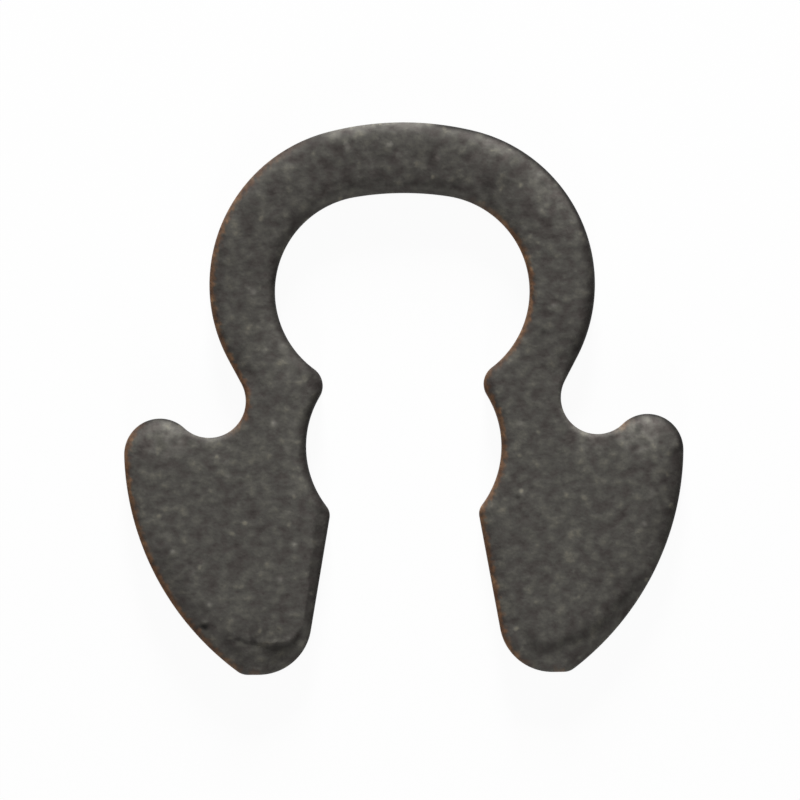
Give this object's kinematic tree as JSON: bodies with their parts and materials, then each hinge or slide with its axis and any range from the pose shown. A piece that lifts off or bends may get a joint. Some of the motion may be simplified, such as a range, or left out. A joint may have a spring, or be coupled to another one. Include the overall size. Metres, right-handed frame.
{
  "type": "radial retaining ring",
  "caption": "Horseshoe-shaped spring steel retaining ring that is pushed sideways onto a grooved shaft: round eye, gripping seat, tapered mouth and two flared lugs.",
  "frame": {"origin": "on the axis of the shaft seat, halfway through the sheet", "axes": "+Z along the shaft's axis, out of the upper face with the rolled edges; +Y from the seat to the crown of the loop; +X to the right lug"},
  "size_m": [0.0202, 0.0199, 0.0009],
  "materials": {
    "spring_steel": "dark grey phosphate, lightly oiled, tumbled edges"
  },
  "bodies": {
    "root": {"retaining_ring": "spring_steel"}
  },
  "joints": []
}
